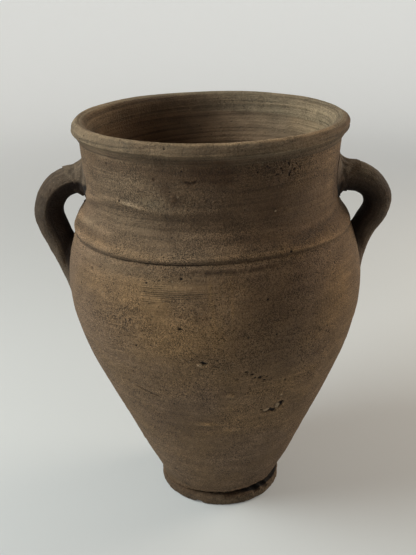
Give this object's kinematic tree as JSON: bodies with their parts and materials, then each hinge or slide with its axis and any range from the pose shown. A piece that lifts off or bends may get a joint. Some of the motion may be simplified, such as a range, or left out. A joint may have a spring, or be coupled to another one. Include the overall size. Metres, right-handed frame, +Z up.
{
  "type": "clay pot",
  "caption": "Round-bellied earthenware olla on a small disc foot, with a wide neck, a rolled rim and paired strap handles, for holding and pouring out water or food.",
  "frame": {"origin": "centre of the foot's underside, on the surface that the pot stands on", "axes": "+Z up along the pot's own axis, +X outwards through the right handle, -Y towards the front"},
  "size_m": [0.3332, 0.276, 0.38],
  "materials": {
    "wall_clay": "unglazed, smoke-darkened",
    "rim_clay": "unglazed, smoke-darkened, worn",
    "handle_clay": "unglazed, smoke-darkened",
    "foot_clay": "unglazed, smoke-darkened, chipped"
  },
  "bodies": {
    "root": {"foot_disc": "foot_clay", "belly_wall": "wall_clay", "shoulder_neck": "wall_clay", "rim_coil": "rim_clay", "left_handle": "handle_clay", "right_handle": "handle_clay", "left_luting_coil": "handle_clay", "right_luting_coil": "handle_clay"}
  },
  "joints": []
}
